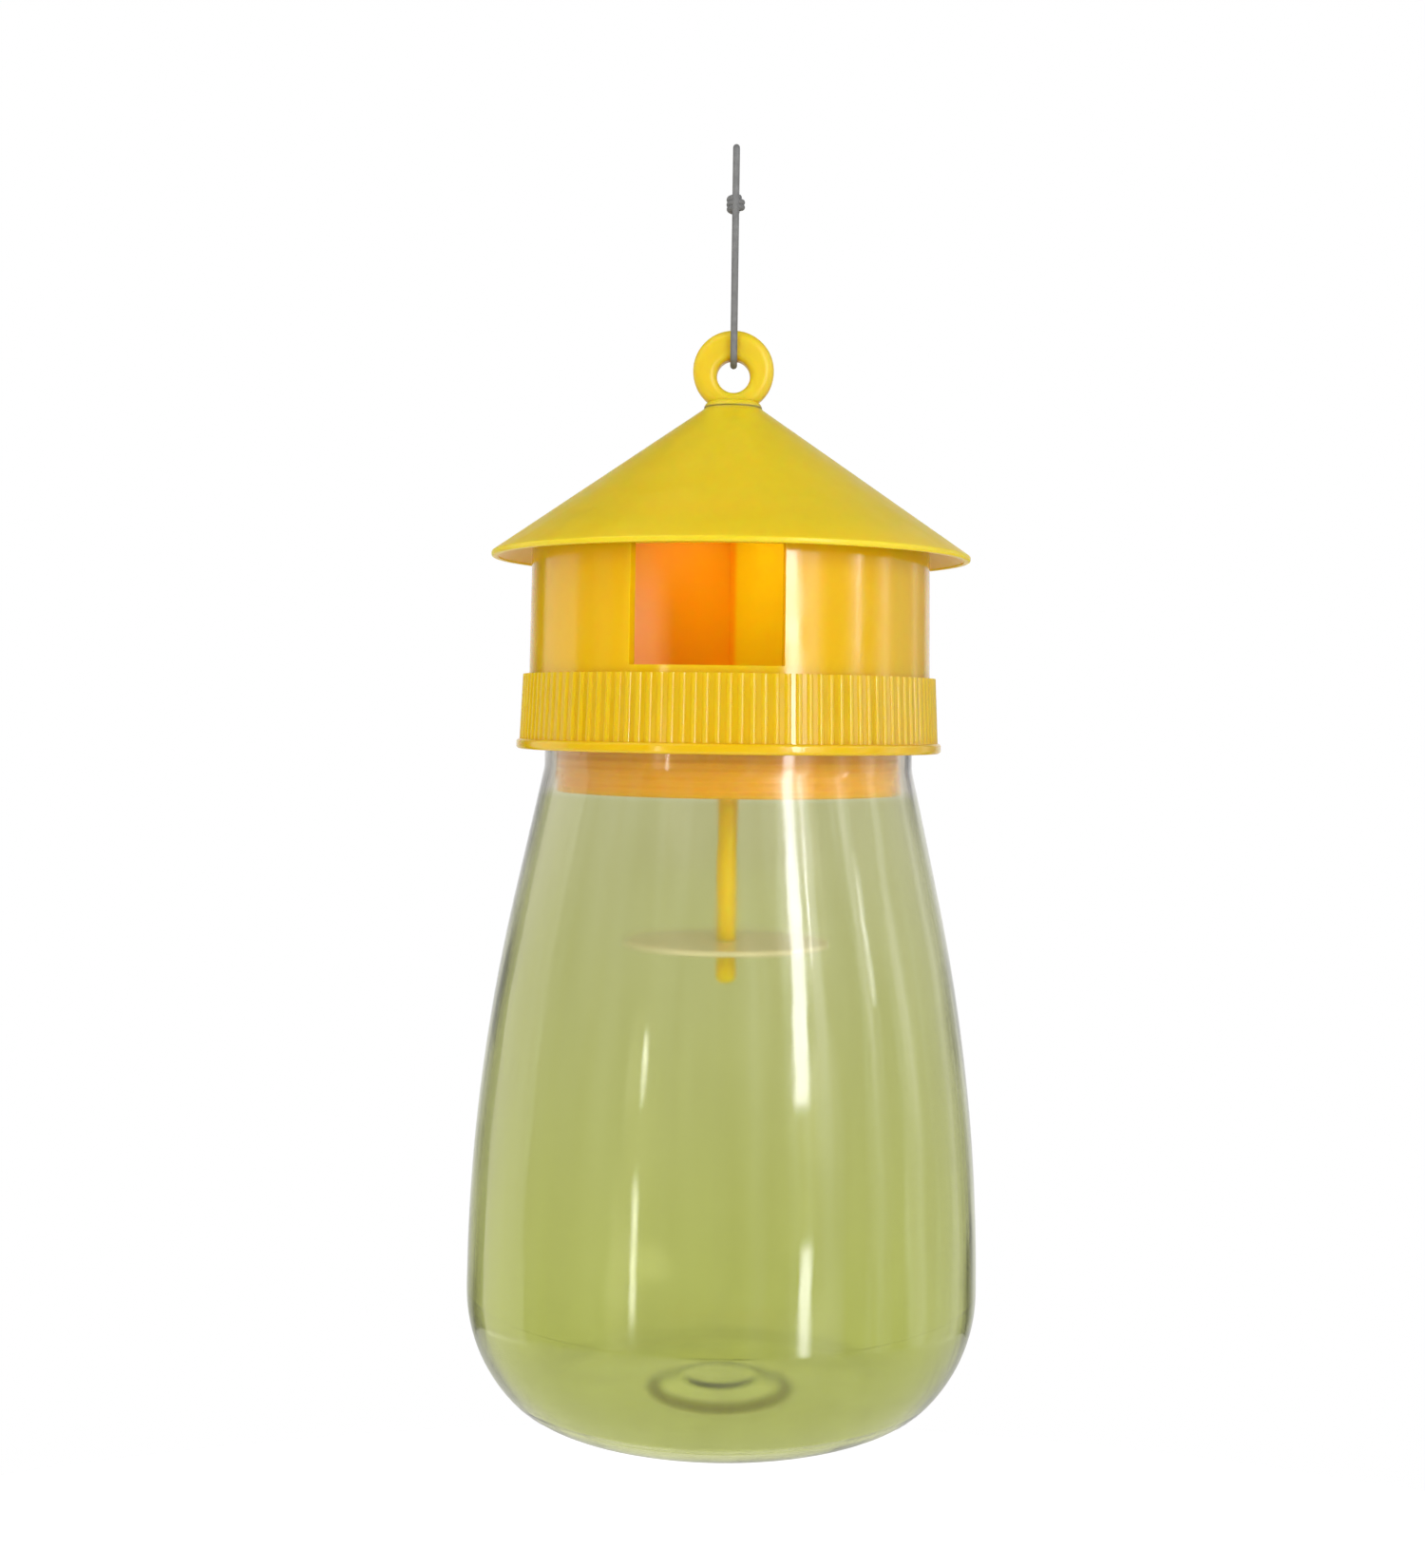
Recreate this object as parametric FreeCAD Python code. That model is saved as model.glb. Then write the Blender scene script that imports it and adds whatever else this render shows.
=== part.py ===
"""Hanging wasp trap: a conical roof with a hanging eye, a screw collar with an entrance ring of three
windows, a three-vane baffle, a funnel, a bait stem with a loose disc, and a clear bottle.

Millimetres, +Z up. The origin is the middle of the cord's loop, where the branch goes through it, and
the trap hangs below on the Z axis. The eye's hole runs along Y.
"""
import FreeCAD
import Part
import math
import os

Vector = FreeCAD.Vector
UP = Vector(0, 0, 1)
ALONG_Y = Vector(0, 1, 0)

# ---- Driving dimensions -------------------------------------------------------------------------

# Cord and its loop
CORD_D = 1.3
CORD_BEND = 2.6             # radius of the bend under the eye's bar
HANG_DROP = 36.5            # branch centre down to the top of the eye's hole
CORD_TO_EYE = 0.1           # gap under the eye's bar, so that the eye can swing on the cord
LEG_TO_EYE = 0.3            # gap between a leg of the cord and the eye's side
KNOT_R = 1.9
KNOT_H = 4.4
KNOT_BELOW_BRANCH = 4.0

# Hanging eye, moulded on the roof
EYE_HOLE_R = 3.1
EYE_WALL = 4.5              # hole to the eye's outside, at mid height
EYE_HOLE_DROP = 1.05        # the hole sits this far below the eye's own centre
EYE_DEPTH = 5.0
EYE_ROUND = 1.9
EYE_HOLE_ROUND = 1.5
EYE_SINK = 0.4              # the eye reaches this far down past the top of the cone

# Roof
ROOF_OVERHANG = 7.6         # rim beyond the top of the entrance ring
ROOF_PITCH = math.radians(35.0)
ROOF_WALL = 1.2
RIM_H = 0.9
RIM_ROUND = 0.42
NECK_R = 5.45
NECK_FILLET = 0.8
BOSS_RISE = 1.5             # the neck stands this far above the top of the cone
BOSS_ROUND = 1.4
SEAT_W = 2.6                # width of the ledge that sits on the entrance ring
SKIRT_H = 3.0               # snap skirt below that ledge
SKIRT_WALL = 1.6
SNAP_BEAD = 0.25

# Entrance ring and screw collar, one moulding
RING_STEP = 1.14            # the ring stands back this far from the collar's grip
RING_DRAFT = 0.3
RING_WALL = 1.6
RING_H = 25.4
WINDOWS = 3
WINDOW_ANGLE = 42.2         # opening of one window, degrees about Z
WINDOW_TURN = -6.5          # first window's middle, degrees about Z from -Y
SILL_H = 1.3                # sill above the collar's shoulder
COLLAR_H = 13.9
COLLAR_WALL = 2.34          # bore to the crests of the ribs, at the top
COLLAR_DRAFT = 0.51
RIBS = 120
RIB_DEPTH = 0.3
LIP_W = 0.6                 # lip beyond the grip
LIP_H = 1.9
LIP_ROUND = 0.6
FLOOR_T = 2.0

# Bottle
BOTTLE_H = 131.4
BELLY_R = 47.55
NECK_OUT_R = 34.45
NECK_H = 13.0               # mouth down to where the shoulder meets the neck
BELLY_TOP_H = 22.2          # base up to where the shoulder begins to draw in
SHOULDER_BEND = 0.377       # where it turns, as a share of the way up to the neck
WAIST_ROUND = 6.0
BASE_CUT_R = 10.4           # the base corner's slope: in from the belly, and up
BASE_CUT_H = 11.9
BASE_ROUND = 12.0
BELLY_ROUND = 26.8
BOTTLE_WALL = 1.5
PUNT_R = 14.0
PUNT_H = 3.0
PUNT_ROUND = 2.5
MOUTH_ROUND = 0.5

# Screw thread between the neck and the collar
PITCH = 4.2
THREAD_TURNS = 1.0
THREAD_H = 1.1
THREAD_ROOT_W = 2.0
THREAD_CREST_W = 1.0
THREAD_BITE = 0.4           # each thread is rooted this deep in its own wall
THREAD_TO_WALL = 0.4        # radial gap from the collar's thread to the neck
THREAD_TO_BORE = 0.75       # radial gap from the neck's thread to the collar
THREAD_BELOW_MOUTH = 1.4
FLANK_GAP = 0.25

# Funnel insert and rim gasket
FLANGE_T = 1.4
PLUG_TO_BORE = 0.75         # radial gap from the plug to the neck's bore
PLUG_WALL = 1.3
PLUG_BELOW_COLLAR = 7.9
THROAT_R = 8.0
THROAT_LIP_H = 2.5
CONE_WALL = 1.3
GASKET_T = 1.2
GASKET_OUT = 0.9            # the gasket reaches past the mouth, outwards and inwards
GASKET_IN = 0.35

# Baffle, bait stem, retainer and disc
VANE_T = 1.4
VANE_ABOVE_SEAT = 2.2
HUB_WALL = 1.55
HUB_H = 10.0
SOCKET_DEPTH = 8.0
STEM_D = 3.7
STEM_BELOW_PLUG = 35.8
STEM_TIP_ROUND = 1.2
RETAINER_W = 2.7            # retainer beyond the stem
RETAINER_T = 1.6
STEM_BELOW_RETAINER = 5.4
DISC_R = 19.2
DISC_T = 1.0
DISC_ROUND = 0.3
DISC_REST_GAP = 0.03
DISC_ON_STEM = 0.08         # radial running gap

# Clearances between pieces
SNUG = 0.15                 # radial, between pieces that drop into each other
LAID = 0.2                  # vertical and edge gaps round the loose baffle
FLOOR_BACK = 0.1            # the collar's floor stands back this far from the funnel's cone

# ---- Places worked out from them ----------------------------------------------------------------

slope = math.tan(ROOF_PITCH)
wall_drop = ROOF_WALL / math.cos(ROOF_PITCH)

# Radii, outwards and inwards from the bottle's neck
neck_bore_r = NECK_OUT_R - BOTTLE_WALL
collar_bore_r = NECK_OUT_R + THREAD_H + THREAD_TO_BORE
collar_top_r = collar_bore_r + COLLAR_WALL
collar_low_r = collar_top_r + COLLAR_DRAFT
lip_r = collar_low_r + LIP_W
ring_low_r = collar_top_r - RING_STEP
ring_top_r = ring_low_r - RING_DRAFT
ring_bore_r = ring_top_r - RING_WALL
roof_r = ring_top_r + ROOF_OVERHANG
plug_r = neck_bore_r - PLUG_TO_BORE
cone_top_r = plug_r - PLUG_WALL
floor_hole_r = cone_top_r + FLOOR_BACK
stem_r = STEM_D / 2

# Heights, downwards from the branch
eye_r = EYE_HOLE_R + EYE_WALL
hole_top_z = -HANG_DROP
eye_z = hole_top_z - EYE_HOLE_R + EYE_HOLE_DROP
cone_top_z = eye_z - eye_r + EYE_SINK
rim_top_z = cone_top_z - (roof_r - NECK_R) * slope
rim_low_z = rim_top_z - RIM_H


def roof_top(r):
    """Height of the cone's outside at radius r."""
    return rim_top_z + (roof_r - r) * slope


def roof_under(r):
    """Height of the cone's inside at radius r."""
    return roof_top(r) - wall_drop


seat_out_r = ring_bore_r + SEAT_W
seat_z = roof_under(seat_out_r) - 0.4
skirt_low_z = seat_z - SKIRT_H
skirt_out_r = ring_bore_r - SNUG
bead_z = seat_z - 0.6 * SKIRT_H
collar_top_z = seat_z - RING_H
collar_low_z = collar_top_z - COLLAR_H
sill_z = collar_top_z + SILL_H
floor_top_z = collar_top_z + 0.4
floor_low_z = floor_top_z - FLOOR_T
flange_low_z = floor_low_z - FLANGE_T
mouth_z = flange_low_z - GASKET_T
base_z = mouth_z - BOTTLE_H
plug_low_z = collar_low_z - PLUG_BELOW_COLLAR
hub_top_z = floor_top_z
hub_low_z = hub_top_z - HUB_H
socket_top_z = hub_low_z + SOCKET_DEPTH
stem_low_z = plug_low_z - STEM_BELOW_PLUG
retainer_low_z = stem_low_z + STEM_BELOW_RETAINER
disc_low_z = retainer_low_z + RETAINER_T + DISC_REST_GAP
throat_top_z = plug_low_z + THROAT_LIP_H
funnel_slope = (floor_low_z - throat_top_z) / (cone_top_r - THROAT_R)


def funnel_top(r):
    """Height of the funnel's slope at radius r."""
    return throat_top_z + (r - THROAT_R) * funnel_slope


# ---- Shape helpers ------------------------------------------------------------------------------


def corner_arc(before, corner, after, radius):
    """The ends and the middle of the arc that rounds a corner between two straight runs."""
    back = (before - corner).normalize()
    ahead = (after - corner).normalize()
    half = back.getAngle(ahead) / 2
    run = radius / math.tan(half)
    centre = corner + (back + ahead).normalize() * (radius / math.sin(half))
    middle = centre + (corner - centre).normalize() * radius
    return corner + back * run, middle, corner + ahead * run


def path(corners, closed=False):
    """Straight runs joined by tangent arcs. A corner is (point, radius), and radius 0 keeps it sharp."""
    count = len(corners)
    joints = []
    for i, (point, radius) in enumerate(corners):
        inner = closed or 0 < i < count - 1
        if radius and inner:
            joints.append(corner_arc(corners[i - 1][0], point, corners[(i + 1) % count][0], radius))
        else:
            joints.append((point, None, point))
    edges = []
    for i, (start, middle, end) in enumerate(joints):
        if middle:
            edges.append(Part.Arc(start, middle, end).toShape())
        following = joints[(i + 1) % count][0]
        last = i == count - 1 and not closed
        if not last and (following - end).Length > 1e-6:
            edges.append(Part.LineSegment(end, following).toShape())
    return Part.Wire(edges)


def turned(*outline):
    """A solid of revolution about Z from corners (r, z) or (r, z, rounding)."""
    corners = [(Vector(c[0], 0, c[1]), c[2] if len(c) > 2 else 0) for c in outline]
    return Part.Face(path(corners, closed=True)).revolve(Vector(), UP, 360).Solids[0]


def inset(outline, wall):
    """The same open outline moved to its left by a wall, its roundings kept parallel."""
    points = [Vector(r, z, 0) for r, z, _ in outline]
    runs = [(b - a).normalize() for a, b in zip(points, points[1:])]
    lefts = [Vector(-run.y, run.x, 0) for run in runs]
    moved = []
    for i, (r, z, rounding) in enumerate(outline):
        before, after = lefts[max(i - 1, 0)], lefts[min(i, len(runs) - 1)]
        step = (before + after) * (wall / (1 + before.dot(after)))
        bends_left = before.cross(after).z > 0
        parallel = rounding + (-wall if bends_left else wall)
        moved.append((r + step.x, z + step.y, parallel if rounding else 0))
    return moved


def upright(radius, low_z, high_z):
    """A round bar on the Z axis."""
    return Part.makeCylinder(radius, high_z - low_z, Vector(0, 0, low_z))


def edges_at(shape, test):
    return [e for e in shape.Edges if test(e)]


def thread(wall_r, height, low_z):
    """A helical ridge on a round wall; a negative height points inwards."""
    helix = Part.makeHelix(PITCH, PITCH * THREAD_TURNS, wall_r)
    bite = -math.copysign(THREAD_BITE, height)
    corners = [
        Vector(wall_r + bite, 0, -THREAD_ROOT_W / 2),
        Vector(wall_r + height, 0, -THREAD_CREST_W / 2),
        Vector(wall_r + height, 0, THREAD_CREST_W / 2),
        Vector(wall_r + bite, 0, THREAD_ROOT_W / 2),
    ]
    section = Part.makePolygon(corners + corners[:1])
    ridge = Part.Wire(helix).makePipeShell([section], True, True)
    ridge.translate(Vector(0, 0, low_z))
    return ridge


# ---- Cord ---------------------------------------------------------------------------------------

leg_y = EYE_DEPTH / 2 + LEG_TO_EYE + CORD_D / 2
cord_low_z = hole_top_z - CORD_TO_EYE - CORD_D / 2


def hanging_cord():
    """One loop: from under the eye's bar up the front, over the branch and down the back."""
    stops = [(0, cord_low_z, 0), (-leg_y, cord_low_z, CORD_BEND), (-leg_y, leg_y, leg_y)]
    stops += [(-y, z, bend) for y, z, bend in reversed(stops)]
    corners = [(Vector(0, y, z), bend) for y, z, bend in stops]
    line = path(corners)
    section = Part.Wire(Part.makeCircle(CORD_D / 2, corners[0][0], ALONG_Y))
    tube = line.makePipeShell([section], True, False)
    expected = line.Length * math.pi * (CORD_D / 2) ** 2
    radii = [round(e.Curve.Radius, 2) for e in line.Edges if hasattr(e.Curve, "Radius")]
    print("cord length", round(line.Length, 2), "volume ratio", round(tube.Volume / expected, 4))
    print("cord bend radii", radii)
    return tube


def cord_knot(cord):
    """The knot in the back leg, just under the branch."""
    low, high = -KNOT_BELOW_BRANCH - KNOT_H, -KNOT_BELOW_BRANCH
    knot = turned((0, low), (KNOT_R, low, 1.3), (KNOT_R, high, 1.3), (0, high))
    knot.translate(Vector(0, leg_y, 0))
    return knot.cut(cord).Solids[0]


# ---- Roof ---------------------------------------------------------------------------------------


def hanging_eye():
    """A thick flat ring with well rounded edges, its hole a little below its centre."""
    start = Vector(0, -EYE_DEPTH / 2, eye_z)
    plate = Part.makeCylinder(eye_r, EYE_DEPTH, start, ALONG_Y)
    plate = plate.makeFillet(EYE_ROUND, edges_at(plate, lambda e: e.Closed and is_round(e, eye_r)))
    hole_start = start - Vector(0, 0, EYE_HOLE_DROP)
    ring = plate.cut(Part.makeCylinder(EYE_HOLE_R, EYE_DEPTH, hole_start, ALONG_Y))
    return ring.makeFillet(EYE_HOLE_ROUND, edges_at(ring, lambda e: is_round(e, EYE_HOLE_R)))


def is_round(edge, radius):
    return hasattr(edge.Curve, "Radius") and abs(edge.Curve.Radius - radius) < 1e-6


def roof():
    """Thin cone with the hanging eye on its neck and a snap skirt underneath."""
    boss_z = cone_top_z + BOSS_RISE
    skirt_in_r = skirt_out_r - SKIRT_WALL
    rim_in_r = roof_r - ROOF_WALL
    cone = turned(
        (0, boss_z),
        (NECK_R, boss_z, BOSS_ROUND),
        (NECK_R, cone_top_z, NECK_FILLET),
        (roof_r, rim_top_z, RIM_ROUND),
        (roof_r, rim_low_z, 0.9 * RIM_ROUND),
        (rim_in_r, rim_low_z),
        (rim_in_r, roof_under(rim_in_r)),
        (seat_out_r, roof_under(seat_out_r)),
        (seat_out_r, seat_z),
        (skirt_out_r, seat_z),
        (skirt_out_r, bead_z + 2 * SNAP_BEAD),
        (skirt_out_r + SNAP_BEAD, bead_z),
        (skirt_out_r, bead_z - 2 * SNAP_BEAD),
        (skirt_out_r, skirt_low_z),
        (skirt_in_r, skirt_low_z),
        (skirt_in_r, roof_under(skirt_in_r)),
        (NECK_R, roof_under(NECK_R), 2.0),
        (0, roof_under(NECK_R)),
    )
    return cone.fuse(hanging_eye()).removeSplitter().Solids[0]


# ---- Entrance body ------------------------------------------------------------------------------


def ribbed_wire(crest_r, z):
    """Outline of the grip: one shallow round rib after another."""
    step = 2 * math.pi / RIBS
    edges = []
    for i in range(RIBS):
        middle = i * step
        valley_r = crest_r - RIB_DEPTH
        ends = [middle - 0.3 * step, middle + 0.3 * step, middle + 0.7 * step]
        a, b, c = [Vector(valley_r * math.cos(t), valley_r * math.sin(t), z) for t in ends]
        crest = Vector(crest_r * math.cos(middle), crest_r * math.sin(middle), z)
        edges.append(Part.Arc(a, crest, b).toShape())
        edges.append(Part.LineSegment(b, c).toShape())
    return Part.Wire(edges)


def window(middle):
    """A wedge from the axis outwards, from the sill up past the ring's open top."""
    half = WINDOW_ANGLE / 2
    reach = 1.3 * ring_low_r
    sides = [math.radians(middle + a) for a in (-half, half)]
    ends = [Vector(reach * math.cos(t), reach * math.sin(t), sill_z) for t in sides]
    tip = Vector(0, 0, sill_z)
    face = Part.Face(Part.makePolygon([tip, ends[0], ends[1], tip]))
    return face.extrude(UP * (RING_H + 1))


def entrance_body():
    """Screw collar with ribbed grip, inner floor and thread, and the windowed ring that stands on it."""
    core_r = collar_top_r - RIB_DEPTH - 0.4
    lip_top_z = collar_low_z + LIP_H
    body = turned(
        (ring_top_r, seat_z),
        (ring_low_r, collar_top_z),
        (core_r, collar_top_z),
        (core_r, lip_top_z),
        (lip_r, lip_top_z, LIP_ROUND),
        (lip_r, collar_low_z, LIP_ROUND),
        (collar_bore_r, collar_low_z),
        (collar_bore_r, floor_low_z),
        (floor_hole_r, floor_low_z),
        (floor_hole_r, floor_top_z),
        (ring_bore_r, floor_top_z),
        (ring_bore_r, skirt_low_z),
        (ring_bore_r, bead_z - 2 * SNAP_BEAD),
        (ring_bore_r + SNAP_BEAD, bead_z),
        (ring_bore_r, bead_z + 2 * SNAP_BEAD),
        (ring_bore_r, seat_z),
    )
    wires = [ribbed_wire(collar_low_r, lip_top_z), ribbed_wire(collar_top_r, collar_top_z)]
    grip = Part.makeLoft(wires, True, True)
    grip = grip.cut(upright(core_r, lip_top_z, collar_top_z))
    body = body.fuse(grip)
    for i in range(WINDOWS):
        body = body.cut(window(-90 + WINDOW_TURN + i * 360 / WINDOWS))
    inner_reach = collar_bore_r - NECK_OUT_R - THREAD_TO_WALL
    return body.fuse(thread(collar_bore_r, -inner_reach, collar_thread_z)).Solids[0]


# ---- Bottle -------------------------------------------------------------------------------------

bottle_thread_z = mouth_z - THREAD_BELOW_MOUTH - PITCH * THREAD_TURNS
collar_thread_z = bottle_thread_z - (THREAD_ROOT_W + THREAD_CREST_W) / 2 - FLANK_GAP


def bottle():
    """Blown bottle: straight neck, waist, long sloping shoulder, full belly, rounded base with a punt."""
    waist_z = mouth_z - NECK_H
    belly_top_z = base_z + BELLY_TOP_H
    bend_run = SHOULDER_BEND * (waist_z - belly_top_z)
    bend_z = belly_top_z + bend_run
    bend_angle = math.atan((BELLY_R - NECK_OUT_R) / (waist_z - bend_z))
    bend_round = bend_run / math.tan(bend_angle / 2)
    outside = [
        (0, base_z + PUNT_H, 0),
        (0.5 * PUNT_R, base_z + PUNT_H, PUNT_ROUND),
        (PUNT_R, base_z, PUNT_ROUND),
        (BELLY_R - BASE_CUT_R, base_z, BASE_ROUND),
        (BELLY_R, base_z + BASE_CUT_H, BELLY_ROUND),
        (BELLY_R, bend_z, bend_round),
        (NECK_OUT_R, waist_z, WAIST_ROUND),
        (NECK_OUT_R, mouth_z, 0),
    ]
    inside = inset(outside, BOTTLE_WALL)
    mouth = [(NECK_OUT_R, mouth_z, MOUTH_ROUND), (neck_bore_r, mouth_z, MOUTH_ROUND)]
    shell = turned(*outside[:-1], *mouth, *reversed(inside[:-1]))
    return shell.fuse(thread(NECK_OUT_R, THREAD_H, bottle_thread_z)).Solids[0]


# ---- Pieces inside the lid ----------------------------------------------------------------------


def funnel():
    """Flange under the collar's floor, round plug, and a cone down to an open throat."""
    wall_drop_here = CONE_WALL * math.hypot(1, funnel_slope)
    throat_out_r = THROAT_R + CONE_WALL
    return turned(
        (cone_top_r, floor_low_z),
        (collar_bore_r - SNUG, floor_low_z),
        (collar_bore_r - SNUG, flange_low_z),
        (plug_r, flange_low_z, 0.4),
        (plug_r, plug_low_z, 0.4),
        (cone_top_r, plug_low_z),
        (cone_top_r, funnel_top(cone_top_r) - wall_drop_here),
        (throat_out_r, funnel_top(throat_out_r) - wall_drop_here),
        (throat_out_r, plug_low_z),
        (THROAT_R, plug_low_z),
        (THROAT_R, throat_top_z),
    )


def rim_gasket():
    """Flat sealing ring on the bottle's mouth."""
    low, high = mouth_z, flange_low_z
    inner, outer = neck_bore_r - GASKET_IN, NECK_OUT_R + GASKET_OUT
    return turned((inner, low, 0.25), (outer, low, 0.25), (outer, high, 0.25), (inner, high, 0.25))


def baffle():
    """Three upright vanes that meet on the axis, with a hub under them for the stem."""
    top_z = seat_z + VANE_ABOVE_SEAT
    under_skirt_z = skirt_low_z - LAID
    outer_r = ring_bore_r - SNUG
    in_skirt_r = skirt_out_r - SKIRT_WALL - LAID
    in_floor_r = floor_hole_r - LAID
    on_floor_z = floor_top_z + LAID
    in_cone_r = cone_top_r - LAID
    low_r = 0.45 * cone_top_r
    outline = [
        (0, top_z),
        (in_skirt_r, top_z),
        (in_skirt_r, under_skirt_z),
        (outer_r, under_skirt_z),
        (outer_r, on_floor_z),
        (in_floor_r, on_floor_z),
        (in_cone_r, funnel_top(in_cone_r) + 2 * LAID),
        (low_r, funnel_top(low_r) + 2 * LAID),
        (0, funnel_top(low_r) + 2 * LAID),
    ]
    points = [Vector(r, -VANE_T / 2, z) for r, z in outline]
    vane = Part.Face(Part.makePolygon(points + points[:1])).extrude(ALONG_Y * VANE_T)
    hub = upright(stem_r + HUB_WALL, hub_low_z, hub_top_z)
    vanes = []
    for i in range(WINDOWS):
        turn = -90 + WINDOW_TURN + (i + 0.5) * 360 / WINDOWS
        vanes.append(vane.rotated(Vector(), UP, turn))
    whole = hub.multiFuse(vanes).removeSplitter()
    return whole.cut(upright(stem_r, plug_low_z, socket_top_z)).Solids[0]


def bait_stem():
    """Round rod pushed up into the baffle's hub."""
    tip = STEM_TIP_ROUND
    return turned((0, stem_low_z), (stem_r, stem_low_z, tip), (stem_r, socket_top_z, 0.3), (0, socket_top_z))


def stem_retainer():
    """Push-on collar that keeps the disc on the stem."""
    low, high = retainer_low_z, retainer_low_z + RETAINER_T
    outer_r = stem_r + RETAINER_W
    return turned((stem_r, low), (outer_r, low, 0.4), (outer_r, high, 0.4), (stem_r, high))


def bait_disc():
    """Loose disc that rests on the retainer and slides up the stem."""
    bore, low, high = stem_r + DISC_ON_STEM, disc_low_z, disc_low_z + DISC_T
    return turned((bore, low), (DISC_R, low, DISC_ROUND), (DISC_R, high, DISC_ROUND), (bore, high))


# ---- Output -------------------------------------------------------------------------------------

cord = hanging_cord()
nodes = {
    "hanging_cord": cord,
    "cord_knot": cord_knot(cord),
    "roof": roof(),
    "entrance_body": entrance_body(),
    "baffle": baffle(),
    "bait_stem": bait_stem(),
    "stem_retainer": stem_retainer(),
    "bait_disc": bait_disc(),
    "funnel": funnel(),
    "rim_gasket": rim_gasket(),
    "bottle": bottle(),
}

os.makedirs("parts", exist_ok=True)
for name, shape in nodes.items():
    print(name, "valid" if shape.isValid() else "NOT VALID", len(shape.Solids), round(shape.Volume, 1))
    shape.exportStep("parts/" + name + ".step")
print("base at", round(base_z, 2), "thread ratio m/rad", round(PITCH / 2000 / math.pi, 9))
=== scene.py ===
"""Hanging wasp trap, dressed for a studio picture. Metres, +Z up, origin at the branch end of the cord."""
import math

import bmesh
import bpy
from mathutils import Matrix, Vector


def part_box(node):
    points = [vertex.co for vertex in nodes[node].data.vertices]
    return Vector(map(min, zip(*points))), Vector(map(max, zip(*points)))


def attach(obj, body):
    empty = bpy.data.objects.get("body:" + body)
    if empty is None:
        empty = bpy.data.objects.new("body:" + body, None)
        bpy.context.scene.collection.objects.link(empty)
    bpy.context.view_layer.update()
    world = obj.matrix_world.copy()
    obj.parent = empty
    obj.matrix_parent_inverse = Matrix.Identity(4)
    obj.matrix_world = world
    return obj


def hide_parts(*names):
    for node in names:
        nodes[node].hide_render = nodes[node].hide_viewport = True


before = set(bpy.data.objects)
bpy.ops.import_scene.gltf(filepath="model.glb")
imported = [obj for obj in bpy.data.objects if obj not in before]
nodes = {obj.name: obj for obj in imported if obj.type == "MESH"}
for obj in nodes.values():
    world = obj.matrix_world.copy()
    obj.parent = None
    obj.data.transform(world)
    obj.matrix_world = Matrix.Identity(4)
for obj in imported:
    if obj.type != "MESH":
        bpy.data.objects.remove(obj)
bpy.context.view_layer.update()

MM = 0.001
(_, _, bottle_low_z), (_, _, bottle_top_z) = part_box("bottle")


def link(thing):
    bpy.context.scene.collection.objects.link(thing)


# ---- Camera -------------------------------------------------------------------------------------

VIEW_DISTANCE = 0.3844
EYE_LEVEL = -0.1027
LENS = 46.9
SENSOR = 36
ROLL = math.radians(-0.77)
SHIFT = (-0.0105, -0.0455)


def add_camera():
    data = bpy.data.cameras.new("camera")
    data.lens = LENS
    data.sensor_width = SENSOR
    data.shift_x, data.shift_y = SHIFT
    data.dof.use_dof = False
    camera = bpy.data.objects.new("camera", data)
    link(camera)
    camera.location = (0, -VIEW_DISTANCE, EYE_LEVEL)
    camera.rotation_euler = (math.radians(90), ROLL, 0)
    bpy.context.scene.camera = camera


# ---- Cord ---------------------------------------------------------------------------------------

CORD_D = 1.3
LEG_Y = 3.45
CORD_LOW_Z = -37.25
LEG_CORNERS = [(0, CORD_LOW_Z - 0.05), (LEG_Y + 0.25, CORD_LOW_Z - 0.15), (LEG_Y, -31.0), (LEG_Y, -4.4)]
CORD_TOP = (LEG_Y, LEG_Y)
KNOT = (-7.7, -4.7)
KNOT_WIND = 1.15
KNOT_STRAND = 0.62
KNOT_TURNS = 3.2
KNOT_STEPS = 160
KNOT_SIDES = 14


def add_cord(knot):
    """One limp loop from under the eye's bar, over the branch and back."""
    route = [(-y, z) for y, z in [*LEG_CORNERS, CORD_TOP]] + [CORD_TOP, *reversed(LEG_CORNERS)]
    data = bpy.data.curves.new("cord", "CURVE")
    data.dimensions = "3D"
    spline = data.splines.new("NURBS")
    spline.points.add(len(route) - 1)
    for point, (y, z) in zip(spline.points, route):
        point.co = (0, y * MM, z * MM, 1)
        point.radius = CORD_D / 2 * MM
    spline.order_u = 3
    spline.use_endpoint_u = True
    spline.resolution_u = 24
    data.bevel_depth = 1.0
    data.bevel_resolution = 6
    data.use_fill_caps = True
    cord = bpy.data.objects.new("cord", data)
    link(cord)
    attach(cord, "root")
    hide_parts("hanging_cord")
    cord.data.materials.append(knot.data.materials[0])


def knot_line():
    """The middle of the winding strand, drawn in to the leg at both ends."""
    low, high = KNOT
    line = []
    for i in range(KNOT_STEPS + 1):
        part = i / KNOT_STEPS
        swing = KNOT_WIND * min(1.0, 6 * part, 6 * (1 - part))
        turn = 2 * math.pi * KNOT_TURNS * part
        z = low + (high - low) * part
        line.append(Vector((swing * math.cos(turn), LEG_Y + swing * math.sin(turn), z)) * MM)
    return line


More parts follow.
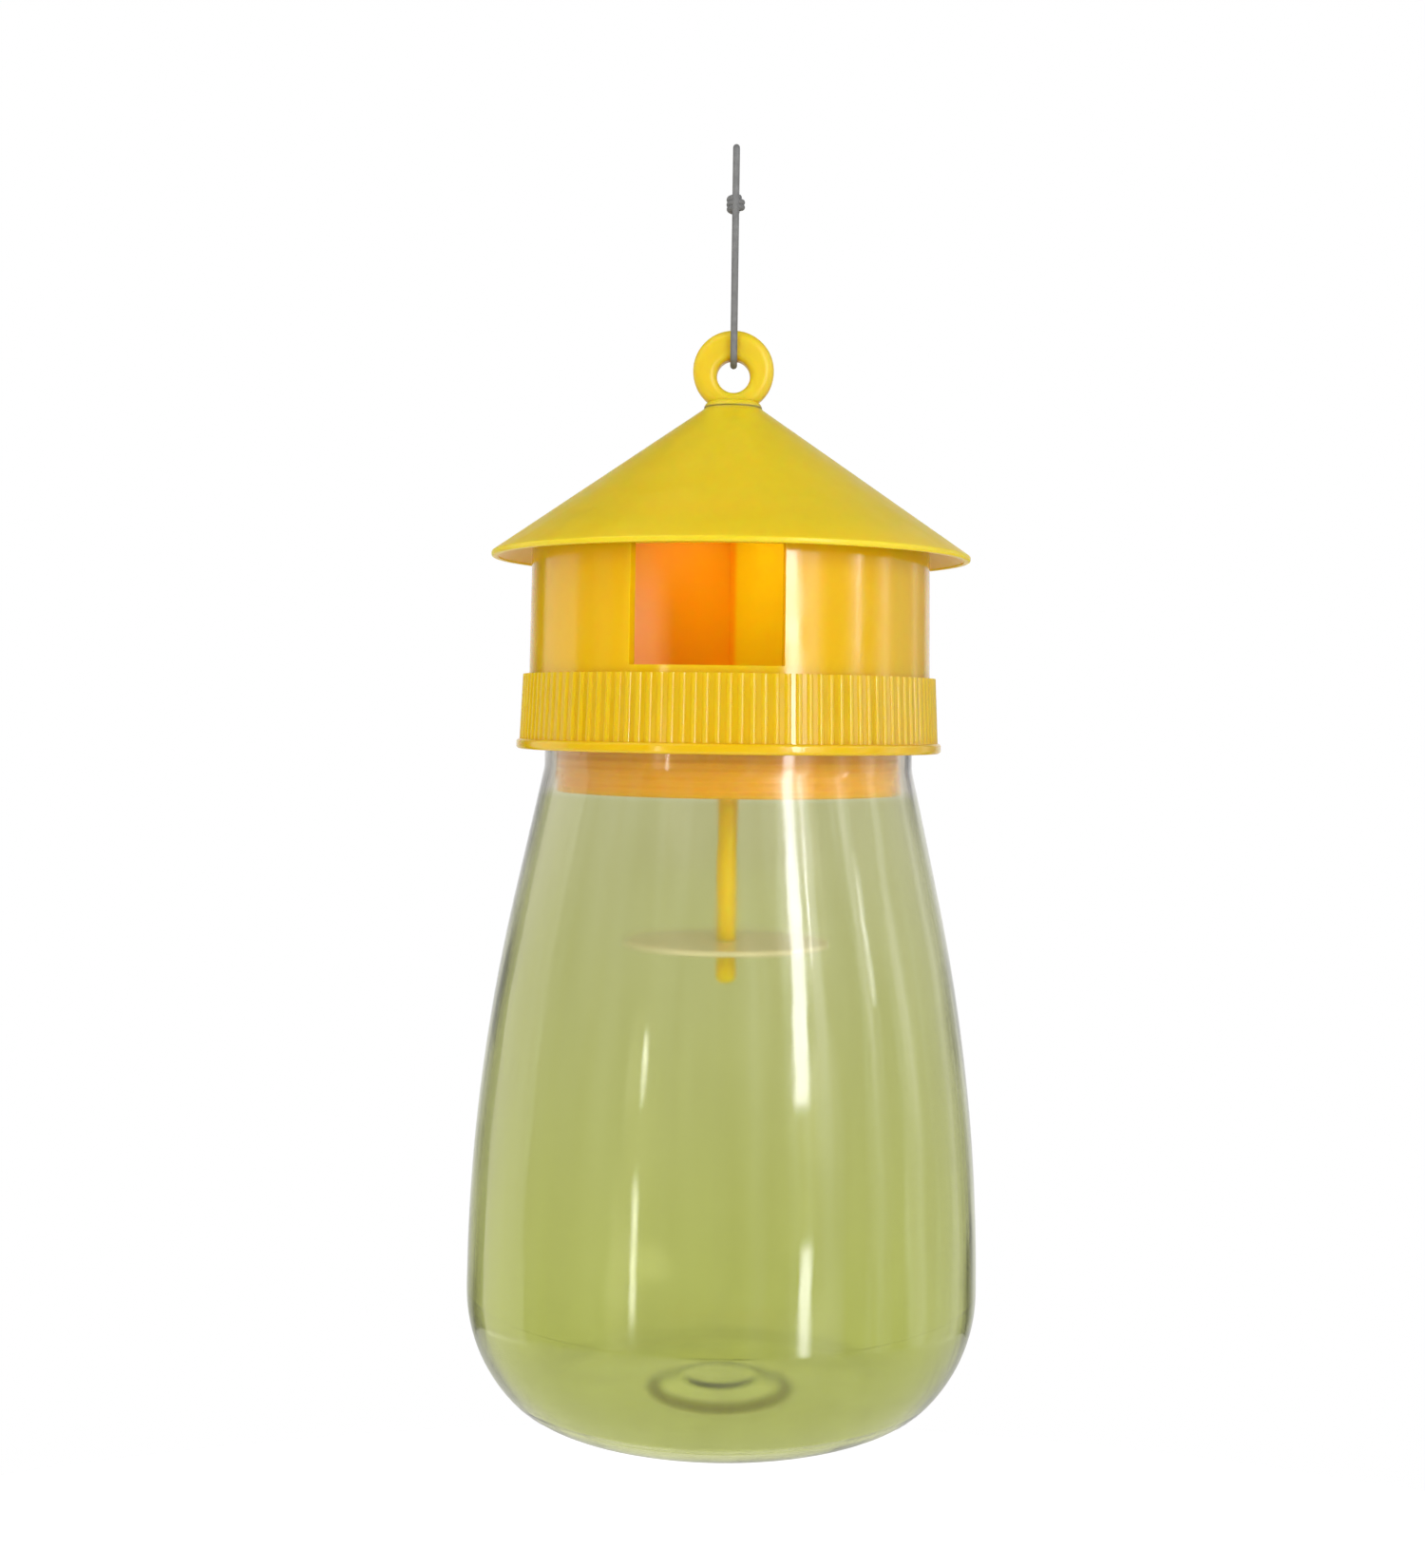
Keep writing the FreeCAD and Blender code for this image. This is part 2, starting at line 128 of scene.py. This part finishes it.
def add_knot():
    """The back leg's end wound round the front of it, just under the branch."""
    line = knot_line()
    bm = bmesh.new()
    rings = []
    for i, centre in enumerate(line):
        ahead = (line[min(i + 1, KNOT_STEPS)] - line[max(i - 1, 0)]).normalized()
        side = ahead.cross(Vector((0, 0, 1))).normalized()
        up = side.cross(ahead)
        tube_r = KNOT_STRAND * MM * min(1.0, 0.35 + 12 * min(i, KNOT_STEPS - i) / KNOT_STEPS)
        ring = []
        for j in range(KNOT_SIDES):
            a = 2 * math.pi * j / KNOT_SIDES
            ring.append(bm.verts.new(centre + (side * math.cos(a) + up * math.sin(a)) * tube_r))
        rings.append(ring)
    for a, b in zip(rings, rings[1:]):
        for j in range(KNOT_SIDES):
            k = (j + 1) % KNOT_SIDES
            bm.faces.new((a[j], a[k], b[k], b[j])).smooth = True
    bm.faces.new(list(reversed(rings[0])))
    bm.faces.new(rings[-1])
    mesh = bpy.data.meshes.new("knot")
    bm.to_mesh(mesh)
    bm.free()
    knot = bpy.data.objects.new("knot", mesh)
    link(knot)
    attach(knot, "root")
    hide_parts("cord_knot")
    return knot


# ---- Material helpers ---------------------------------------------------------------------------

PLASTIC_IOR = 1.49
GLOW_THROUGH = (1.0, 0.5, 0.06)
GLOW_DEPTH = 0.008


class Graph:
    """A material being wired up: its tree, its shader and the object's own coordinates."""

    def __init__(self, name):
        self.material = bpy.data.materials.new(name)
        self.material.use_nodes = True
        self.tree = self.material.node_tree
        self.shader = self.tree.nodes["Principled BSDF"]
        self.place = self.add("ShaderNodeTexCoord").outputs["Object"]

    def add(self, kind, **settings):
        node = self.tree.nodes.new(kind)
        for key, value in settings.items():
            setattr(node, key, value)
        return node

    def wire(self, start, end):
        self.tree.links.new(start, end)

    def set(self, **values):
        for name, value in values.items():
            self.shader.inputs[name.replace("_", " ")].default_value = value

    def noise(self, scale, detail=2.0, stretch=(1, 1, 1)):
        mapping = self.add("ShaderNodeMapping")
        mapping.inputs["Scale"].default_value = stretch
        self.wire(self.place, mapping.inputs["Vector"])
        noise = self.add("ShaderNodeTexNoise")
        noise.inputs["Scale"].default_value = scale
        noise.inputs["Detail"].default_value = detail
        self.wire(mapping.outputs["Vector"], noise.inputs["Vector"])
        return noise.outputs["Fac"]

    def ramp(self, value, low, high, start, end):
        """value from low to high becomes start to end."""
        step = self.add("ShaderNodeMapRange")
        numbers = (low, high, start, end)
        for name, number in zip(("From Min", "From Max", "To Min", "To Max"), numbers):
            step.inputs[name].default_value = number
        self.wire(value, step.inputs["Value"])
        return step.outputs["Result"]

    def part(self, axis):
        """The object's own X, Y or Z, in metres."""
        split = self.add("ShaderNodeSeparateXYZ")
        self.wire(self.place, split.inputs["Vector"])
        return split.outputs[axis]

    def height(self, low, high):
        """0 at height low and 1 at height high, in metres."""
        return self.ramp(self.part("Z"), low, high, 0, 1)

    def math(self, operation, a, b):
        node = self.add("ShaderNodeMath", operation=operation)
        for socket, value in zip(node.inputs, (a, b)):
            if isinstance(value, (int, float)):
                socket.default_value = value
            else:
                self.wire(value, socket)
        return node.outputs[0]

    def mix(self, fac, a, b):
        node = self.add("ShaderNodeMix", data_type="RGBA")
        self.wire(fac, node.inputs["Factor"])
        for socket, colour in zip((node.inputs[6], node.inputs[7]), (a, b)):
            if isinstance(colour, tuple):
                socket.default_value = (*colour, 1)
            else:
                self.wire(colour, socket)
        return node.outputs[2]

    def bump(self, value, strength, distance):
        bump = self.add("ShaderNodeBump")
        bump.inputs["Strength"].default_value = strength
        bump.inputs["Distance"].default_value = distance
        self.wire(value, bump.inputs["Height"])
        self.wire(bump.outputs["Normal"], self.shader.inputs["Normal"])


def moulded(name, light, dark, roughness, translucency=0.8):
    """Soft-gloss moulded plastic: mottled colour, fine orange peel, uneven gloss."""
    g = Graph(name)
    clouds = g.noise(28, 3.0, (1, 1, 0.5))
    fine = g.noise(900, 2.0)
    g.wire(g.mix(g.ramp(clouds, 0.3, 0.7, 0, 1), light, dark), g.shader.inputs["Base Color"])
    gloss = g.ramp(g.noise(160, 2.0), 0.3, 0.7, roughness - 0.05, roughness + 0.06)
    g.wire(gloss, g.shader.inputs["Roughness"])
    g.bump(g.math("ADD", clouds, g.math("MULTIPLY", fine, 0.15)), 0.16, 0.0004)
    g.set(IOR=PLASTIC_IOR, Subsurface_Weight=translucency)
    g.set(Subsurface_Radius=GLOW_THROUGH, Subsurface_Scale=GLOW_DEPTH)
    return g


def dress(name, material):
    data = nodes[name].data
    data.materials.clear()
    data.materials.append(material)


# ---- Plastics -----------------------------------------------------------------------------------


def roof_plastic():
    return moulded("roof_plastic", (0.64, 0.48, 0.012), (0.60, 0.445, 0.010), 0.36).material


def collar_plastic():
    return moulded("collar_plastic", (0.63, 0.395, 0.003), (0.60, 0.37, 0.003), 0.15, 0.7).material


def baffle_plastic():
    """Deep orange, with painted light: the vane that stands to the front and right is painted a paler orange,
    as if lit.
    """
    g = moulded("baffle_plastic", (0.95, 0.33, 0.001), (0.92, 0.30, 0.001), 0.34)
    # Painted light: the vane to the front and right gets a paler, lit-looking orange.
    painted_lit_vane = g.ramp(g.part("X"), 0.0006, 0.0014, 0, 1)
    deep = g.shader.inputs["Base Color"].links[0].from_socket
    g.wire(g.mix(painted_lit_vane, deep, (0.86, 0.50, 0.003)), g.shader.inputs["Base Color"])
    return g.material


def disc_plastic():
    """Cloudy clear disc, faintly pink."""
    g = Graph("disc_plastic")
    g.wire(g.mix(g.noise(40, 2.0), (0.99, 0.94, 0.86), (0.96, 0.86, 0.76)), g.shader.inputs["Base Color"])
    g.wire(g.ramp(g.noise(200, 2.0), 0.3, 0.7, 0.14, 0.20), g.shader.inputs["Roughness"])
    g.set(IOR=PLASTIC_IOR, Transmission_Weight=0.35)
    return g.material


RIDGE_PITCH = 0.0016


def funnel_plastic():
    """Orange, with fine sealing ridges round the plug."""
    g = moulded("funnel_plastic", (0.76, 0.36, 0.001), (0.71, 0.31, 0.001), 0.3)
    g.set(Specular_IOR_Level=0.25)
    wave = g.math("SINE", g.math("MULTIPLY", g.part("Z"), 2 * math.pi / RIDGE_PITCH), 0)
    g.bump(wave, 0.6, 0.0002)
    return g.material


def inner_plastic(name, light, dark):
    return moulded(name, light, dark, 0.34).material


DARK_RING_R = 0.0125
DARK_RING_HALF_WIDTH = 0.0010
DARK_RING_SOFT = 0.0005
DARK_RING_ABOVE_BASE = (0.0055, 0.0035)
PALE_BELOW_MOUTH = 0.01485
NECK_BELOW_MOUTH = (0.01835, 0.01635)


def dark_base_ring(g):
    """1 on a thin ring under the base, where the colour is painted dark."""
    flat = g.add("ShaderNodeVectorMath", operation="MULTIPLY")
    g.wire(g.place, flat.inputs[0])
    flat.inputs[1].default_value = (1, 1, 0)
    radius = g.add("ShaderNodeVectorMath", operation="LENGTH")
    g.wire(flat.outputs[0], radius.inputs[0])
    off = g.math("ABSOLUTE", g.math("SUBTRACT", radius.outputs["Value"], DARK_RING_R), 0)
    near = g.ramp(off, DARK_RING_HALF_WIDTH + DARK_RING_SOFT, DARK_RING_HALF_WIDTH - DARK_RING_SOFT, 0, 1)
    low = g.height(*[bottle_low_z + z for z in DARK_RING_ABOVE_BASE])
    return g.math("MULTIPLY", near, low)


def bottle_plastic():
    """Clear blown plastic, faintly yellow-green, deeper towards the base."""
    g = Graph("bottle_plastic")
    up = g.height(bottle_low_z, bottle_top_z - PALE_BELOW_MOUTH)
    clear = g.mix(up, (0.78, 0.82, 0.36), (0.81, 0.81, 0.58))
    neck = g.height(*[bottle_top_z - z for z in NECK_BELOW_MOUTH])
    streaks = g.ramp(g.noise(130, 3.0, (1, 1, 0.05)), 0.40, 0.65, 0, 0.22)
    streaked = g.mix(streaks, clear, (0.62, 0.64, 0.26))
    # A thin ring under the base is painted near-black.
    shade = g.mix(dark_base_ring(g), streaked, (0.20, 0.18, 0.004))
    g.wire(g.mix(neck, shade, (0.96, 0.93, 0.84)), g.shader.inputs["Base Color"])
    g.set(Transmission_Weight=1.0, IOR=PLASTIC_IOR)
    g.wire(g.ramp(g.noise(60, 2.0), 0.3, 0.7, 0.06, 0.14), g.shader.inputs["Roughness"])
    ripple = g.noise(42, 1.0, (1, 1, 0.7))
    drawn = g.noise(300, 2.0, (1, 1, 0.03))
    g.bump(g.math("ADD", ripple, g.math("MULTIPLY", drawn, 0.05)), 0.6, 0.0007)
    return g.material


def cord_fibre():
    g = Graph("cord_fibre")
    g.wire(g.mix(g.noise(700, 2.0), (0.10, 0.10, 0.10), (0.20, 0.20, 0.20)), g.shader.inputs["Base Color"])
    g.set(Roughness=0.75)
    g.bump(g.noise(1500, 2.0, (1, 1, 0.3)), 0.5, 0.0003)
    return g.material


# ---- Studio -------------------------------------------------------------------------------------

PANEL_AWAY = 0.75
SIDE_AWAY = 0.8
FRONT_AWAY = 1.2
MIDDLE = (0, 0, -0.13)
WARM = (1.0, 0.96, 0.88)
CREAM = (1.0, 0.98, 0.85)

# Upright strips, mirrored in the gloss: name, azimuth, height, (width, height), power, colour.
STRIPS = [
    ("strip_high", 35, 0.09, (0.085, 0.46), 2.0, (1, 1, 1)),
    ("strip_low", 36, -0.37, (0.06, 0.13), 0.3, (1, 1, 1)),
    ("strip_left", -36, -0.1, (0.02, 0.09), 0.10, CREAM),
    ("strip_left_low", -37, -0.31, (0.025, 0.16), 0.20, CREAM),
    ("strip_thin", 42.5, 0.17, (0.012, 0.3), 0.22, (1, 1, 1)),
    ("strip_side", 75, 0.0, (0.018, 0.12), 0.10, (1, 1, 1)),
]


def add_panel(name, place, target, size, power, colour=(1, 1, 1), mirrored=True):
    """A soft box at place, facing target. None shows through the bottle, and one that isn't mirrored
    shows in no reflection."""
    data = bpy.data.lights.new(name, "AREA")
    data.shape = "RECTANGLE"
    data.size, data.size_y = size
    data.energy = power
    data.color = colour
    panel = bpy.data.objects.new(name, data)
    link(panel)
    place, target = Vector(place), Vector(target)
    panel.visible_glossy = mirrored
    panel.visible_transmission = False
    panel.location = place
    panel.rotation_euler = (target - place).to_track_quat("-Z", "Y").to_euler()


def around(azimuth, distance, z):
    """A place round the trap, azimuth in degrees to the camera's right."""
    a = math.radians(azimuth)
    return distance * math.sin(a), -distance * math.cos(a), z


def add_panels():
    for name, azimuth, z, size, power, colour in STRIPS:
        add_panel(name, around(azimuth, PANEL_AWAY, z), (0, 0, z), size, power, colour)
    add_panel("side_left", around(-112, SIDE_AWAY, -0.1), MIDDLE, (0.5, 0.9), 1.3, WARM)
    add_panel("side_right", around(112, SIDE_AWAY, -0.1), MIDDLE, (0.5, 0.9), 0.6)
    add_panel("front", around(-12, FRONT_AWAY, 0.0), MIDDLE, (0.9, 0.9), 9.0, mirrored=False)
    add_panel("top", (-0.4, -0.25, 0.65), MIDDLE, (0.7, 0.7), 1.9)


GLOWS = 3
GLOW_TURN = -96.5
GLOW_OFF_AXIS = 0.019
GLOW_Z = -0.0665
GLOW_D = 0.020
GLOW_POWER = 0.0042


def add_glow(name, turn):
    """Light that comes down through the translucent roof into one third of the entrance ring."""
    data = bpy.data.lights.new(name, "AREA")
    data.shape = "DISK"
    data.size = GLOW_D
    data.energy = GLOW_POWER
    glow = bpy.data.objects.new(name, data)
    link(glow)
    glow.location = (GLOW_OFF_AXIS * math.cos(turn), GLOW_OFF_AXIS * math.sin(turn), GLOW_Z)
    glow.visible_glossy = False
    glow.visible_transmission = False
    glow.visible_camera = False
    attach(glow, "lid")


def step(tree, value, low, high, start, end):
    """value from low to high becomes start to end."""
    node = tree.nodes.new("ShaderNodeMapRange")
    for name, number in zip(("From Min", "From Max", "To Min", "To Max"), (low, high, start, end)):
        node.inputs[name].default_value = number
    tree.links.new(value, node.inputs["Value"])
    return node.outputs["Result"]


def combine(tree, operation, a, b):
    node = tree.nodes.new("ShaderNodeMath")
    node.operation = operation
    tree.links.new(a, node.inputs[0])
    tree.links.new(b, node.inputs[1])
    return node.outputs[0]


def mirrored_surroundings(tree):
    """What the gloss mirrors: upright bands, brighter to the right and high up, and bright behind."""
    look = tree.nodes.new("ShaderNodeTexCoord").outputs["Generated"]
    stretch = tree.nodes.new("ShaderNodeMapping")
    stretch.inputs["Scale"].default_value = (1, 1, 0.12)
    bands = tree.nodes.new("ShaderNodeTexNoise")
    bands.inputs["Scale"].default_value = 5.0
    bands.inputs["Detail"].default_value = 3.0
    tree.links.new(look, stretch.inputs["Vector"])
    tree.links.new(stretch.outputs["Vector"], bands.inputs["Vector"])
    sides = tree.nodes.new("ShaderNodeSeparateXYZ")
    tree.links.new(look, sides.inputs["Vector"])
    level = step(tree, bands.outputs["Fac"], 0.44, 0.59, 0.15, 1.5)
    level = combine(tree, "MULTIPLY", level, step(tree, sides.outputs["X"], 0.1, 0.75, 0.3, 3.0))
    level = combine(tree, "MULTIPLY", level, step(tree, sides.outputs["Z"], -0.1, 0.3, 0.3, 1.0))
    level = combine(tree, "MULTIPLY", level, step(tree, sides.outputs["Z"], 0.5, 0.8, 1.0, 0.15))
    level = combine(tree, "MULTIPLY", level, step(tree, sides.outputs["Y"], 0.2, 0.6, 1.0, 0.3))
    return combine(tree, "ADD", level, step(tree, sides.outputs["Y"], 0.80, 0.97, 0.0, 0.9))


PLAIN_LEVEL = 0.5
THROUGH_LEVEL = 0.74
SEEN_LEVEL = 1.0


def switched(tree, chosen, other, level):
    """A mix that takes level where chosen is 1 and other elsewhere; each may be a number or a socket."""
    node = tree.nodes.new("ShaderNodeMix")
    tree.links.new(chosen, node.inputs["Factor"])
    for name, value in (("A", other), ("B", level)):
        if isinstance(value, float):
            node.inputs[name].default_value = value
        else:
            tree.links.new(value, node.inputs[name])
    return node.outputs["Result"]


def add_surroundings():
    """White all round, with a strength of its own for gloss, for what shows through, and for the backdrop."""
    world = bpy.data.worlds.new("studio")
    bpy.context.scene.world = world
    world.use_nodes = True
    tree = world.node_tree
    back = tree.nodes["Background"]
    back.inputs["Color"].default_value = (1, 1, 1, 1)
    rays = tree.nodes.new("ShaderNodeLightPath").outputs
    strength = switched(tree, rays["Is Glossy Ray"], PLAIN_LEVEL, mirrored_surroundings(tree))
    strength = switched(tree, rays["Is Transmission Ray"], strength, THROUGH_LEVEL)
    strength = switched(tree, rays["Is Camera Ray"], strength, SEEN_LEVEL)
    tree.links.new(strength, back.inputs["Strength"])


FLOOR_R = 0.9
FLOOR_Z = -0.55
FLOOR_LIFT = 0.6


def add_floor():
    """Plain pale round floor, lifted to white where the camera sees it."""
    mesh = bpy.data.meshes.new("floor")
    bm = bmesh.new()
    bmesh.ops.create_circle(bm, cap_ends=True, radius=FLOOR_R, segments=96)
    bm.to_mesh(mesh)
    bm.free()
    floor = bpy.data.objects.new("floor", mesh)
    floor.location = (0, 0, FLOOR_Z)
    link(floor)
    g = Graph("floor")
    g.set(Roughness=0.9, Base_Color=(0.9, 0.9, 0.9, 1), Emission_Color=(1, 1, 1, 1))
    rays = g.add("ShaderNodeLightPath")
    lift = g.ramp(rays.outputs["Is Camera Ray"], 0, 1, 0.0, FLOOR_LIFT)
    g.wire(lift, g.shader.inputs["Emission Strength"])
    mesh.materials.append(g.material)


add_camera()
knot = add_knot()
knot.data.materials.append(cord_fibre())
add_cord(knot)
dress("roof", roof_plastic())
dress("entrance_body", collar_plastic())
dress("baffle", baffle_plastic())
dress("bait_stem", inner_plastic("stem_plastic", (0.90, 0.58, 0.006), (0.87, 0.54, 0.005)))
dress("stem_retainer", inner_plastic("retainer_plastic", (0.60, 0.45, 0.03), (0.55, 0.42, 0.03)))
dress("bait_disc", disc_plastic())
dress("funnel", funnel_plastic())
dress("rim_gasket", inner_plastic("gasket_rubber", (0.6, 0.6, 0.58), (0.55, 0.55, 0.53)))
dress("bottle", bottle_plastic())
nodes["bottle"].visible_shadow = False
add_surroundings()
add_panels()
for i in range(GLOWS):
    add_glow("glow_%d" % i, math.radians(GLOW_TURN + 360 / GLOWS * i))
add_floor()
bpy.context.scene.view_settings.view_transform = "Standard"

bpy.context.view_layer.update()
